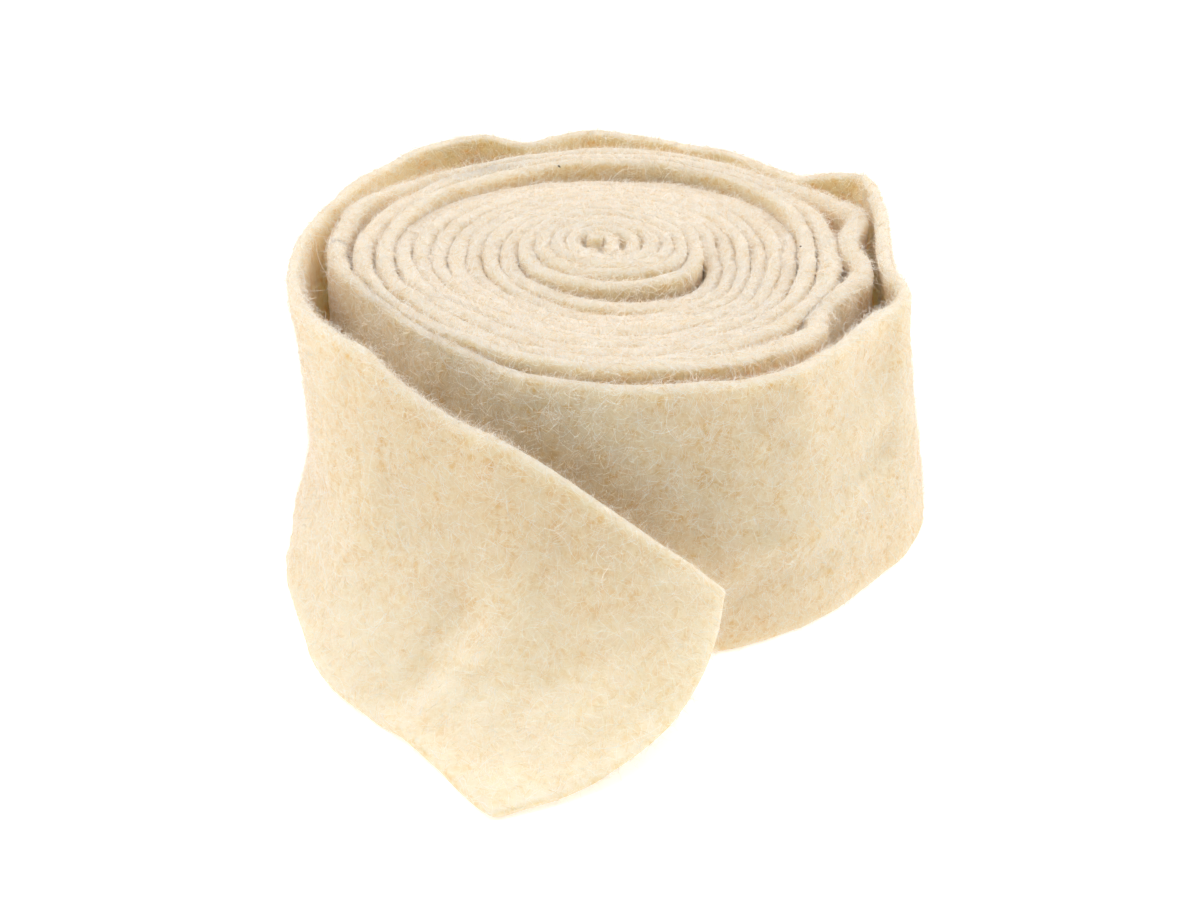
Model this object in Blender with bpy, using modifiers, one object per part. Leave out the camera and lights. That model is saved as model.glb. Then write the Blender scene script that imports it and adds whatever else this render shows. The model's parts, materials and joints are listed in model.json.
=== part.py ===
"""A roll of cream wool felt ribbon, standing on its edge with its last turn come loose.

The ribbon is one strip of thick felt, wound tightly from the middle outwards and
anticlockwise as seen from above. At the front right it leaves the roll: the last
turn swings round the back and the left side on its own, pokes out in a corner at
the back right, and ends in front of the roll, where its lower edge has slid
forwards and its cut end lies on the ground.

Two solids: the wound roll, with its flat base on the ground, and the loose sheet.
The origin is on the axis of the roll, at its base. +X is right and -Y is the front.
"""

import bmesh
import bpy
import numpy as np

# Driving sizes, in millimetres. Everything is turned to metres when the mesh is made.
MM = 0.001
RIBBON_WIDTH = 76.0
FELT_THICKNESS = 3.6
PIECE_GAP = 0.6
LEAVES_AT = 323.0

# How finely the two solids are faceted.
ROLL_STEPS_ROUND = 120
SHEET_STEP = 5.2
SHEET_STEPS_ACROSS = 10

# The felt is cream, undyed and matt.
FELT_COLOUR = (0.84, 0.73, 0.56, 1.0)
FELT_ROUGHNESS = 0.95

# The outermost wound turn, where the middle of the felt's thickness runs. It starts
# under the place where the loose turn leaves and goes once round, anticlockwise.
# angle from +X in degrees, radius at the upper edge, height of it, radius at the foot
WOUND_EDGE = (
    (LEAVES_AT, 63.2, 76.0, 66.0),
    (338.0, 65.2, 76.0, 68.0),
    (350.0, 69.0, 76.0, 70.0),
    (358.0, 67.6, 76.2, 70.0),
    (366.0, 66.7, 76.5, 69.5),
    (379.0, 74.0, 77.0, 73.5),
    (393.0, 73.4, 76.6, 73.0),
    (406.0, 71.4, 75.6, 72.5),
    (420.0, 73.4, 76.0, 74.0),
    (438.0, 74.7, 76.8, 75.0),
    (453.0, 75.8, 77.0, 75.6),
    (468.0, 74.9, 76.4, 75.2),
    (481.0, 74.2, 76.0, 75.0),
    (496.0, 76.0, 76.0, 76.5),
    (514.0, 80.0, 76.0, 79.0),
    (528.0, 78.0, 75.5, 78.0),
    (541.0, 75.0, 75.0, 77.0),
    (551.0, 70.7, 75.0, 76.0),
    (562.0, 66.8, 75.0, 74.8),
    (578.0, 65.5, 74.8, 74.0),
    (597.0, 66.1, 74.5, 74.5),
    (613.0, 69.4, 74.5, 75.8),
    (631.0, 74.1, 74.6, 78.5),
    (648.0, 75.5, 75.0, 80.5),
    (664.0, 77.2, 75.2, 80.5),
    (674.0, 74.8, 75.3, 81.0),
    (LEAVES_AT + 360.0, 73.9, 75.5, 82.5),
)

# The top of the roll: how far it lies above or below the upper edge, on each side.
# The inner turns sit deep behind the back turns, and the heart stands proud of a
# groove in front of it.
# share of the radius, front, right, back, left
TOP_FORM = (
    (0.93, -1.4, -1.4, -0.8, -1.2),
    (0.86, -0.4, -0.5, 0.0, -0.4),
    (0.80, -0.6, -1.6, -0.4, -0.6),
    (0.74, -0.5, -1.4, -6.5, -1.0),
    (0.66, -1.0, -1.2, -6.0, -1.4),
    (0.56, -1.6, -1.4, -3.8, -2.2),
    (0.48, -3.8, -1.4, -2.2, -2.6),
    (0.42, -6.5, -1.4, -1.4, -3.2),
    (0.36, -0.2, 0.4, -0.4, -2.4),
    (0.26, 1.0, 1.2, 0.6, -0.6),
    (0.14, 1.4, 1.2, 0.8, 0.2),
)
HEART_HEIGHT = 75.5

# The loose turn, section by section.
# angle, radius at the upper edge, height of it, radius half way down, radius at the foot
LOOSE_TURN = (
    (LEAVES_AT, 73.9, 75.5, 77.0, 82.5),
    (331.0, 75.0, 75.5, 79.0, 85.5),
    (338.0, 80.0, 75.8, 82.5, 88.5),
    (342.0, 80.5, 76.2, 84.0, 90.0),
    (347.0, 76.5, 76.8, 83.5, 91.0),
    (355.0, 74.1, 77.5, 82.5, 91.0),
    (366.0, 75.3, 78.2, 82.0, 90.0),
    (377.0, 79.0, 79.0, 83.0, 88.5),
    (385.0, 83.0, 79.5, 84.5, 87.5),
    (392.0, 86.0, 79.5, 85.0, 86.5),
    (397.0, 81.5, 79.0, 82.0, 84.5),
    (404.0, 76.2, 76.5, 78.5, 81.0),
    (412.0, 77.6, 76.3, 78.5, 80.2),
    (424.0, 80.5, 76.5, 80.5, 80.5),
    (431.0, 79.0, 77.3, 79.7, 80.5),
    (446.0, 80.4, 78.8, 80.6, 81.0),
    (454.0, 81.0, 79.5, 81.0, 81.5),
    (462.0, 80.0, 79.0, 80.4, 81.0),
    (468.0, 80.0, 77.7, 80.7, 81.5),
    (478.0, 86.6, 80.0, 84.5, 83.0),
    (487.0, 88.5, 79.6, 86.0, 84.5),
    (501.0, 87.2, 78.5, 84.5, 85.5),
    (519.0, 85.4, 77.5, 83.5, 86.5),
    (532.0, 85.5, 77.0, 83.0, 87.5),
)

# The end of the ribbon. Each section is a curve from the upper edge to the foot,
# drawn towards a knee between them: the cloth stands above its knee and lies below it.
# name, upper edge x y z, knee x y z, foot x y
LOOSE_END = (
    ("side of the roll", -85.2, 0.0, 76.5, -79.0, 0.0, 20.0, -89.5, -3.0),
    ("widest", -83.7, -18.0, 75.8, -77.0, -22.0, 12.0, -89.0, -27.0),
    ("coming forwards", -78.0, -36.0, 75.0, -72.5, -39.0, 14.0, -87.5, -48.0),
    ("foot moves out", -67.0, -53.0, 74.0, -63.0, -56.0, 17.0, -79.5, -72.0),
    ("starts to lean", -54.0, -64.0, 71.5, -54.0, -67.0, 16.0, -68.0, -91.0),
    ("leaning", -40.0, -73.0, 68.5, -42.0, -78.0, 13.0, -57.0, -102.0),
    ("hollow", -26.0, -81.0, 63.5, -28.0, -88.0, 7.0, -46.0, -111.5),
    ("crease", -12.0, -86.0, 56.0, -16.0, -96.0, 9.0, -39.0, -120.0),
    ("past the crease", 1.0, -88.0, 47.0, -2.0, -104.0, 3.0, -33.0, -127.5),
    ("lying", 14.0, -89.0, 37.0, 9.0, -112.0, 1.0, -28.5, -133.0),
    ("cut end", 27.3, -90.0, 27.0, 19.7, -121.4, 0.0, -25.0, -136.3),
)


def clear_scene():
    for old in list(bpy.data.objects):
        bpy.data.objects.remove(old, do_unlink=True)


def felt_material(name):
    material = bpy.data.materials.new(name)
    material.use_nodes = True
    shader = material.node_tree.nodes["Principled BSDF"]
    shader.inputs["Base Color"].default_value = FELT_COLOUR
    shader.inputs["Roughness"].default_value = FELT_ROUGHNESS
    shader.inputs["Metallic"].default_value = 0.0
    return material


def flowing(rows, at):
    """Reads a table as smooth curves: the first column is the place, the rest follow it."""
    table = np.array(rows, float)
    place, values = table[:, 0], table[:, 1:]
    slope = np.gradient(values, place, axis=0)
    which = np.clip(np.searchsorted(place, at, side="right") - 1, 0, len(place) - 2)
    span = (place[which + 1] - place[which])[:, None]
    t = (np.asarray(at)[:, None] - place[which][:, None]) / span
    before = (2 * t**3 - 3 * t**2 + 1) * values[which] + (t**3 - 2 * t**2 + t) * span * slope[which]
    after = (3 * t**2 - 2 * t**3) * values[which + 1] + (t**3 - t**2) * span * slope[which + 1]
    return before + after


def around(angle, radius, height):
    """Points at these angles in degrees, radii and heights, round the axis of the roll."""
    turn = np.radians(angle)
    return np.stack([radius * np.cos(turn), radius * np.sin(turn), height + 0 * turn], axis=-1)


def by_side(angle, front, right, back, left):
    """A value that flows from side to side: each side counts by how squarely it is faced."""
    turn = np.radians(angle)
    x, y = np.cos(turn), np.sin(turn)
    return np.where(x > 0, right, left) * x**2 + np.where(y > 0, back, front) * y**2


def new_object(name, mesh, collection):
    obj = bpy.data.objects.new(name, mesh)
    obj.data.materials.append(felt_material(name + "_felt"))
    collection.objects.link(obj)
    return obj


def roll_rings():
    """Rings of points that make the wound roll, from the base up the side and over the top."""
    angle = np.linspace(LEAVES_AT, LEAVES_AT + 360.0, ROLL_STEPS_ROUND)
    lip_radius, lip_height, foot_radius = flowing(WOUND_EDGE, angle).T
    half = FELT_THICKNESS / 2
    middle = (foot_radius + lip_radius) / 2
    rings = [
        around(angle, foot_radius + half, 0.0),
        around(angle, middle + half, lip_height / 2),
        around(angle, lip_radius + half, lip_height - half),
        around(angle, lip_radius, lip_height),
    ]
    # Inside the last turn the step has died away: the rings there close on themselves.
    through = np.linspace(-0.5, 0.5, ROLL_STEPS_ROUND)
    even_radius = lip_radius - through * (lip_radius[-1] - lip_radius[0])
    even_height = lip_height - through * (lip_height[-1] - lip_height[0])
    for share, front, right, back, left in TOP_FORM:
        drop = by_side(angle, front, right, back, left)
        rings.append(around(angle, share * even_radius, even_height + drop))
    return rings


def build_roll(collection):
    """Lofts the rings: the step where the loose turn leaves is the seam of each ring."""
    form = bmesh.new()
    rings = [[form.verts.new(p * MM) for p in ring] for ring in roll_rings()]
    count = ROLL_STEPS_ROUND
    for lower, upper in zip(rings, rings[1:]):
        for i in range(count):
            j = (i + 1) % count
            form.faces.new((lower[i], lower[j], upper[j], upper[i]))
    base = form.verts.new((0.0, 0.0, 0.0))
    heart = form.verts.new((0.0, 0.0, HEART_HEIGHT * MM))
    for i in range(count):
        j = (i + 1) % count
        form.faces.new((base, rings[0][j], rings[0][i]))
        form.faces.new((heart, rings[-1][i], rings[-1][j]))
    bmesh.ops.recalc_face_normals(form, faces=form.faces)
    mesh = bpy.data.meshes.new("wound_roll")
    form.to_mesh(mesh)
    form.free()
    mesh.shade_smooth()
    return new_object("wound_roll", mesh, collection)


def loose_sections():
    """Upper edge, knee and foot of every section of the loose turn and the loose end."""
    sections = []
    for angle, lip_radius, lip_height, middle_radius, foot_radius in LOOSE_TURN:
        leaves = angle == LEAVES_AT
        at = angle + np.degrees(PIECE_GAP / lip_radius) if leaves else angle
        slope = np.sqrt(RIBBON_WIDTH**2 - (foot_radius - lip_radius) ** 2)
        top = around(at, lip_radius, lip_height)
        foot = around(at, foot_radius, max(0.0, lip_height - slope))
        middle = around(at, middle_radius, (top[2] + foot[2]) / 2)
        sections.append(np.concatenate([top, 2 * middle - (top + foot) / 2, foot]))
    for _name, *numbers in LOOSE_END:
        sections.append(np.array([*numbers, 0.0]))
    return np.array(sections)


def loose_grid():
    """Points over the loose sheet, evenly spaced along it, as rows across its width."""
    sections = loose_sections()
    middle = (sections[:, :3] + 2 * sections[:, 3:6] + sections[:, 6:]) / 4
    place = np.concatenate([[0.0], np.cumsum(np.linalg.norm(np.diff(middle, axis=0), axis=1))])
    steps = int(round(place[-1] / SHEET_STEP))
    flowed = flowing(np.column_stack([place, sections]), np.linspace(0.0, place[-1], steps + 1))
    top, knee, foot = flowed[:, None, :3], flowed[:, None, 3:6], flowed[:, None, 6:]
    t = np.linspace(0.0, 1.0, SHEET_STEPS_ACROSS + 1)[None, :, None]
    grid = (1 - t) ** 2 * top + 2 * t * (1 - t) * knee + t**2 * foot
    # Where the felt lies down, half its thickness goes below its middle, so it is lifted.
    along = np.gradient(grid, axis=0)
    across = np.gradient(grid, axis=1)
    facing = np.cross(along, across)
    lying = np.abs(facing[..., 2]) / np.linalg.norm(facing, axis=2)
    grid[..., 2] += lying * FELT_THICKNESS / 2
    return grid


def build_loose_sheet(collection):
    """An open surface through the sections, thickened evenly and set flat on the ground."""
    sheet = bmesh.new()
    rows = [[sheet.verts.new(p * MM) for p in row] for row in loose_grid()]
    for this, following in zip(rows, rows[1:]):
        for i in range(SHEET_STEPS_ACROSS):
            sheet.faces.new((this[i], this[i + 1], following[i + 1], following[i]))
    bmesh.ops.recalc_face_normals(sheet, faces=sheet.faces)
    surface = bpy.data.meshes.new("loose_sheet_middle")
    sheet.to_mesh(surface)
    sheet.free()
    guide = bpy.data.objects.new("loose_sheet_middle", surface)
    collection.objects.link(guide)
    thicken = guide.modifiers.new("felt thickness", "SOLIDIFY")
    thicken.thickness = FELT_THICKNESS * MM
    thicken.offset = 0.0
    thicken.use_even_offset = True
    bpy.context.view_layer.update()
    evaluated = guide.evaluated_get(bpy.context.evaluated_depsgraph_get())
    mesh = bpy.data.meshes.new_from_object(evaluated)
    mesh.name = "loose_sheet"
    bpy.data.objects.remove(guide, do_unlink=True)
    for vertex in mesh.vertices:
        vertex.co.z = max(vertex.co.z, 0.0)
    mesh.shade_smooth()
    return new_object("loose_sheet", mesh, collection)


def main():
    clear_scene()
    collection = bpy.data.collections.new("felt_roll")
    bpy.context.scene.collection.children.link(collection)
    build_roll(collection)
    build_loose_sheet(collection)


main()
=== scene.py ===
# %% [markdown]
# # A roll of wool felt ribbon
#
# The real thing is one strip of thick, soft, undyed wool felt, 76 mm wide and almost four
# metres long. It is wound from the middle outwards and stands on its edge. The last turn
# has sprung away from the roll, and the cut end lies on the table in front of it.
#
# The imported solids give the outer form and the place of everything. What they leave out is
# what makes felt look like felt: the fourteen turns with their soft round lips, the uneven
# surface, the cloudy colour, and the loose fibres. This script adds those.

# %% Load the fixed frame
import json
import math

import bpy
import numpy as np
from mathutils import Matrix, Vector
from mathutils.bvhtree import BVHTree

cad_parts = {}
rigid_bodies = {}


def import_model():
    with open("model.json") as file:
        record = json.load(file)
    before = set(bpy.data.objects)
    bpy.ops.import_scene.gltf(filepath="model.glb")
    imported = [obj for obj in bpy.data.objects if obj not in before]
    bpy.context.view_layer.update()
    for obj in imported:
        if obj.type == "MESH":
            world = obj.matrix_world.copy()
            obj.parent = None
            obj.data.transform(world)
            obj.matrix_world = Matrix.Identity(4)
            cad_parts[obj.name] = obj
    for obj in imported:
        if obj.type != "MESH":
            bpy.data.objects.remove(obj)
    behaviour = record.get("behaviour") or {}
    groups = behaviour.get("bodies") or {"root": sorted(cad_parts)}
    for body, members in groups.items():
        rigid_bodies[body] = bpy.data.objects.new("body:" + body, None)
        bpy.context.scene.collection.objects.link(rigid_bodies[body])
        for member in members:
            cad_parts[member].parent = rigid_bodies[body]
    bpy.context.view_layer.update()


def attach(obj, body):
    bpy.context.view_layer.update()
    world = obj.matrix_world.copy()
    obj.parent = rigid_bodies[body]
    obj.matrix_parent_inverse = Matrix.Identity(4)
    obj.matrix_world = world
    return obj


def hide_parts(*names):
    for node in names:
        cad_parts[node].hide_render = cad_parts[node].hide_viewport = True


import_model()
scene = bpy.context.scene

# %% [markdown]
# ## Driving sizes
#
# The ribbon is laid out in millimetres, which is how a maker would measure it, and is turned
# to metres only when a mesh is made. Only the floor, the lights and the camera are placed in
# metres. Angles run anticlockwise from +X as seen from above, which is also the way the
# ribbon is wound.

# %% Driving sizes
MM = 0.001
RIBBON_WIDTH = 76.0
LOOSE_THICKNESS = 3.7
PRESSED_THICKNESS = 4.7
LEAVES_AT = 323.0
FULL_TURN = 360.0

# %% [markdown]
# ## The path of the upper edge, turn by turn
#
# Seen from above, the wound part is a spiral, but not an even one. The turns are pressed
# tight on the right and looser at the front. The heart has been pushed up and stands proud
# of the turns in front of it, and behind it the turns have sunk, so that the outer ones rise
# above them as a small wall.
#
# A perfect spiral would need one formula. This one is a short table instead: a row for
# each turn, and a column for each of the eight directions in which the eye can follow it.
# Reading it from left to right and on to the next row is walking along the ribbon.

# %% Tables of the wound turns
# The turns wind round this point, which drifts to the axis of the roll by the last turn.
HEART_X, HEART_Y = 0.0, 3.0

# Directions of the eight columns, in degrees.
DIRECTIONS = (315.0, 360.0, 405.0, 450.0, 495.0, 540.0, 585.0, 630.0)

# Distance from the middle to the upper edge, in mm, one row a turn from the heart outwards.
# front right, right, back right, back, back left, left, front left, front
TURN_RADIUS = (
    (7.2, 6.4, 7.4, 9.8, 11.4, 10.0, 8.3, 9.2),
    (11.2, 11.0, 11.9, 14.0, 15.5, 14.3, 12.8, 13.5),
    (15.5, 15.2, 16.4, 18.2, 19.5, 18.4, 17.5, 18.0),
    (19.5, 18.9, 20.8, 22.4, 23.5, 22.6, 22.4, 22.5),
    (23.6, 22.8, 25.6, 27.2, 28.2, 27.2, 28.0, 28.6),
    (30.2, 27.2, 30.8, 32.6, 33.6, 32.4, 31.9, 33.6),
    (34.6, 31.2, 35.7, 37.8, 38.9, 37.2, 35.4, 38.6),
    (38.3, 35.0, 40.5, 43.0, 44.0, 41.8, 39.1, 43.6),
    (42.0, 39.2, 45.6, 48.5, 49.4, 46.4, 42.9, 48.6),
    (45.9, 43.4, 50.7, 54.0, 54.7, 51.0, 47.0, 53.5),
    (49.8, 47.6, 55.9, 59.5, 60.1, 55.6, 51.2, 58.5),
    (54.0, 52.6, 61.0, 64.4, 64.4, 60.6, 55.9, 63.2),
    (59.0, 58.4, 65.0, 68.8, 69.4, 66.6, 60.2, 67.8),
)

# Height of the upper edge, in mm, with the same rows and columns.
TURN_HEIGHT = (
    (77.8, 77.8, 77.8, 77.8, 77.8, 77.8, 77.8, 78.0),
    (78.2, 78.0, 77.8, 77.8, 77.8, 77.8, 78.2, 78.4),
    (78.4, 77.8, 77.4, 77.6, 77.5, 77.4, 77.6, 78.2),
    (78.2, 77.4, 77.0, 77.3, 77.0, 76.6, 76.2, 76.8),
    (77.2, 76.4, 76.2, 76.6, 75.8, 75.2, 74.4, 73.7),
    (73.2, 74.6, 75.3, 75.9, 75.3, 74.6, 73.8, 72.5),
    (73.0, 74.6, 74.8, 75.0, 74.7, 74.2, 74.0, 73.2),
    (73.8, 75.0, 74.0, 74.0, 73.8, 74.2, 74.4, 74.2),
    (74.4, 75.0, 73.4, 73.0, 73.2, 74.4, 75.0, 75.2),
    (74.8, 75.0, 72.8, 72.0, 73.0, 74.6, 75.6, 76.0),
    (75.0, 75.0, 72.2, 71.2, 72.6, 75.0, 75.8, 76.6),
    (75.4, 75.4, 76.0, 76.4, 76.2, 75.8, 76.0, 77.2),
    (76.3, 76.0, 76.2, 76.8, 76.0, 75.4, 75.8, 77.8),
)

# The last wound turn, which has small kinks of its own. These are sizes of its outer face.
# angle from +X, radius at the upper edge, height of it, radius at the foot
LAST_WOUND_TURN = (
    (LEAVES_AT, 65.8, 76.0, 66.5),
    (338.0, 65.6, 76.0, 68.0),
    (350.0, 69.0, 76.0, 70.0),
    (358.0, 67.6, 76.2, 70.0),
    (366.0, 66.7, 76.5, 69.5),
    (379.0, 74.0, 77.0, 73.5),
    (393.0, 73.4, 76.6, 73.0),
    (406.0, 71.4, 75.6, 72.5),
    (420.0, 73.4, 76.0, 74.0),
    (438.0, 74.7, 76.8, 75.0),
    (453.0, 75.8, 77.0, 75.6),
    (468.0, 74.9, 76.4, 75.2),
    (481.0, 74.2, 76.0, 75.0),
    (496.0, 76.0, 76.0, 76.5),
    (514.0, 80.0, 76.0, 79.0),
    (528.0, 78.0, 75.5, 78.0),
    (541.0, 75.0, 75.0, 77.0),
    (551.0, 70.7, 75.0, 76.0),
    (562.0, 66.8, 75.0, 74.8),
    (578.0, 65.5, 74.8, 74.0),
    (597.0, 66.6, 74.5, 74.8),
    (613.0, 70.4, 74.5, 76.6),
    (631.0, 74.0, 74.6, 79.0),
    (640.0, 75.7, 74.8, 80.5),
    (648.0, 77.3, 75.0, 81.5),
    (656.0, 79.2, 75.1, 82.0),
    (664.0, 80.4, 75.2, 82.5),
    (674.0, 78.2, 75.3, 83.0),
)

# The loose turn, also by its outer face.
# angle, radius at the upper edge, height of it, radius half way down, radius at the foot
LOOSE_TURN = (
    (LEAVES_AT, 77.1, 75.5, 79.0, 83.5),
    (331.0, 77.5, 75.5, 80.0, 85.0),
    (338.0, 80.5, 75.8, 82.5, 87.0),
    (342.0, 80.5, 76.2, 83.5, 88.0),
    (347.0, 76.5, 76.8, 83.0, 89.0),
    (355.0, 74.1, 77.5, 82.0, 89.0),
    (366.0, 75.3, 78.2, 81.5, 88.5),
    (377.0, 79.0, 79.0, 83.0, 88.5),
    (385.0, 83.0, 79.5, 84.5, 87.5),
    (392.0, 86.0, 79.5, 85.0, 86.5),
    (397.0, 81.5, 79.0, 82.0, 84.5),
    (404.0, 76.2, 76.5, 78.5, 81.0),
    (412.0, 77.6, 76.3, 78.5, 80.2),
    (424.0, 80.5, 76.5, 80.5, 80.5),
    (431.0, 79.0, 77.3, 79.7, 80.5),
    (446.0, 80.4, 78.8, 80.6, 81.0),
    (454.0, 81.0, 79.5, 81.0, 81.5),
    (462.0, 80.0, 79.0, 80.4, 81.0),
    (468.0, 80.0, 77.7, 80.7, 81.5),
    (478.0, 86.6, 80.0, 84.5, 83.0),
    (487.0, 88.5, 79.6, 86.0, 84.5),
    (501.0, 87.2, 78.5, 84.5, 85.5),
    (519.0, 85.4, 77.5, 83.5, 86.5),
    (532.0, 85.5, 77.0, 83.0, 87.5),
)

# The end of the ribbon, by its middle. Each section is a curve from the upper edge to the
# foot, drawn towards a knee between them: the cloth stands above its knee and lies below it.
# name, upper edge x y z, knee x y z, foot x y
LOOSE_END = (
    ("side of the roll", -83.4, 0.0, 76.5, -77.4, 0.0, 20.0, -87.7, -3.0),
    ("widest", -82.0, -17.5, 75.9, -74.0, -21.5, 14.0, -86.6, -26.5),
    ("coming forwards", -76.3, -35.2, 76.0, -69.6, -38.0, 17.0, -84.6, -47.4),
    ("foot moves out", -65.6, -51.8, 77.0, -61.0, -54.8, 19.0, -77.2, -70.6),
    ("shoulder", -58.8, -58.3, 77.0, -57.0, -61.0, 16.5, -73.4, -82.4),
    ("starts to lean", -52.0, -63.2, 72.6, -52.6, -66.0, 15.5, -68.4, -91.4),
    ("leaning", -39.0, -71.4, 66.4, -41.0, -76.6, 13.0, -58.0, -102.8),
    ("hollow", -25.2, -79.4, 63.2, -27.4, -86.8, 7.0, -47.4, -112.6),
    ("crease", -11.5, -84.6, 57.0, -15.4, -94.8, 9.0, -40.2, -121.2),
    ("past the crease", 1.2, -86.8, 48.2, -1.0, -104.0, 3.0, -34.4, -128.8),
    ("lying", 14.0, -88.2, 38.8, 10.4, -113.0, 1.0, -29.8, -134.6),
    ("cut end", 27.3, -89.4, 27.8, 22.2, -123.6, 0.0, -26.2, -138.0),
)
print(len(TURN_RADIUS), "turns in the table, then the last wound turn and the loose one")

# %% [markdown]
# ## From tables to one smooth ribbon
#
# A ribbon is fully described by three lines that run along it: its upper edge, its foot,
# and a knee between them that bends it sideways. Each place along the ribbon is then one
# curve from edge to foot. The tables are read as smooth curves, so that a few listed
# numbers give a flowing shape, and the three lines are read at even steps of length.

# %% Smooth curves through a table
def flowing(rows, at):
    """Reads a table as smooth curves: the first column is the place, the rest follow it."""
    table = np.array(rows, float)
    place, values = table[:, 0], table[:, 1:]
    slope = np.gradient(values, place, axis=0)
    which = np.clip(np.searchsorted(place, at, side="right") - 1, 0, len(place) - 2)
    span = (place[which + 1] - place[which])[:, None]
    t = (np.asarray(at)[:, None] - place[which][:, None]) / span
    before = (2 * t**3 - 3 * t**2 + 1) * values[which] + (t**3 - 2 * t**2 + t) * span * slope[which]
    after = (3 * t**2 - 2 * t**3) * values[which + 1] + (t**3 - t**2) * span * slope[which + 1]
    return before + after


def around(angle, radius, height, middle_x=0.0, middle_y=0.0):
    """Points at these angles in degrees, radii and heights, round an upright axis."""
    turn = np.radians(angle)
    x = middle_x + radius * np.cos(turn)
    y = middle_y + radius * np.sin(turn)
    return np.stack([x, y, height + 0 * turn], axis=-1)


# %% The wound turns as sections
WOUND_STEP_DEGREES = 5.0


def wound_sections():
    """(angle wound so far, upper edge, knee, foot) for the turns inside the last one."""
    rows = []
    for turn, (radii, heights) in enumerate(zip(TURN_RADIUS, TURN_HEIGHT)):
        for direction, radius, height in zip(DIRECTIONS, radii, heights):
            rows.append((direction + FULL_TURN * turn, radius, height))
    first_of_last = LAST_WOUND_TURN[0]
    wound_before = FULL_TURN * len(TURN_RADIUS)
    rows.append((first_of_last[0] + wound_before, first_of_last[1], first_of_last[2]))
    angle = np.arange(rows[0][0], rows[-1][0], WOUND_STEP_DEGREES)
    radius, height = flowing(rows, angle).T
    drift = 1.0 - (angle - rows[0][0]) / (rows[-1][0] - rows[0][0])
    top = around(angle, radius, height, HEART_X * drift, HEART_Y * drift)
    foot = top.copy()
    foot[:, 2] = np.maximum(0.0, height - RIBBON_WIDTH)
    return np.concatenate([top, (top + foot) / 2, foot], axis=1)


def last_turn_sections():
    sections = []
    for angle, outer_lip, lip_height, outer_foot in LAST_WOUND_TURN:
        lip_radius = outer_lip - PRESSED_THICKNESS / 2
        foot_radius = outer_foot - PRESSED_THICKNESS / 2
        slope = math.sqrt(RIBBON_WIDTH**2 - (foot_radius - lip_radius) ** 2)
        top = around(angle, lip_radius, lip_height)
        foot = around(angle, foot_radius, max(0.0, lip_height - slope))
        sections.append(np.concatenate([top, (top + foot) / 2, foot]))
    return np.array(sections)


def loose_sections():
    sections = []
    for angle, outer_lip, lip_height, outer_middle, outer_foot in LOOSE_TURN:
        lip_radius, middle_radius, foot_radius = [
            outer - LOOSE_THICKNESS / 2 for outer in (outer_lip, outer_middle, outer_foot)
        ]
        slope = math.sqrt(RIBBON_WIDTH**2 - (foot_radius - lip_radius) ** 2)
        top = around(angle, lip_radius, lip_height)
        foot = around(angle, foot_radius, max(0.0, lip_height - slope))
        middle = around(angle, middle_radius, (top[2] + foot[2]) / 2)
        sections.append(np.concatenate([top, 2 * middle - (top + foot) / 2, foot]))
    for _name, *numbers in LOOSE_END:
        sections.append(np.array([*numbers, 0.0]))
    return np.array(sections)


def by_length(sections):
    """Puts in front of each section how far along the ribbon its middle line it lies."""
    middle = (sections[:, :3] + 2 * sections[:, 3:6] + sections[:, 6:]) / 4
    steps = np.linalg.norm(np.diff(middle, axis=0), axis=1)
    return np.column_stack([np.concatenate([[0.0], np.cumsum(steps)]), sections])


# %% [markdown]
# The heart of the roll is taken to begin with a hook. The maker folds the end over and rolls
# on round it, and this leaves two little holes, one on each side of the fold. The hook is
# drawn as two bends that turn opposite ways and then run into the first turn.

# %% The hook at the heart
FIRST_HOLE = (-2.6, 6.6)
SECOND_HOLE = (2.6, 0.2)
HOOK_RADIUS = 2.75
HOOK_HEIGHT = 77.4
ROUND_FIRST_HOLE = (275.0, 230.0, 185.0, 140.0, 95.0, 50.0, 5.0)
ROUND_SECOND_HOLE = (175.0, 220.0, 265.0)


def hook_sections():
    """Sections from the free inner end, between the two holes, to where the first turn starts."""
    first = around(np.array(ROUND_FIRST_HOLE), HOOK_RADIUS, HOOK_HEIGHT, *FIRST_HOLE)
    between = np.append((np.array(FIRST_HOLE) + SECOND_HOLE) / 2, HOOK_HEIGHT)[None, :]
    second = around(np.array(ROUND_SECOND_HOLE), HOOK_RADIUS, HOOK_HEIGHT, *SECOND_HOLE)
    top = np.concatenate([first, between, second])
    foot = top * (1.0, 1.0, 0.0) + (0.0, 0.0, HOOK_HEIGHT - RIBBON_WIDTH)
    return np.concatenate([top, (top + foot) / 2, foot], axis=1)


inner = np.concatenate([hook_sections(), wound_sections()])
path = by_length(np.concatenate([inner, last_turn_sections(), loose_sections()]))
ribbon_length = path[-1, 0]
last_turn_from = path[len(inner), 0]
loose_from = path[len(inner) + len(LAST_WOUND_TURN), 0]
print("ribbon length, m:", round(ribbon_length * MM, 3))
print("wound to the last turn, m:", round(last_turn_from * MM, 3))
print("last wound turn, m:", round((loose_from - last_turn_from) * MM, 3))

# %% [markdown]
# ## Soft unevenness
#
# Felt has no weave to keep it even. It is matted wool, so its surface swells and sinks
# and its cut edge wanders. A lattice of random numbers, read smoothly between its points,
# gives a soft random field with swellings of any wanted size. It depends only on the place,
# so two pieces that meet swell alike where they meet.

# %% A soft random field
LATTICE = 48
FIELD_SEED = 7
lattice_numbers = np.random.default_rng(FIELD_SEED).uniform(-1.0, 1.0, (LATTICE, LATTICE, LATTICE))

# Each use is shifted to its own part of the field.
SHIFTS = {"edge": 3.1, "turns": 9.7, "lip thickness": 5.3, "lip rounding": 12.9, "skin": 1.7}


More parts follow.
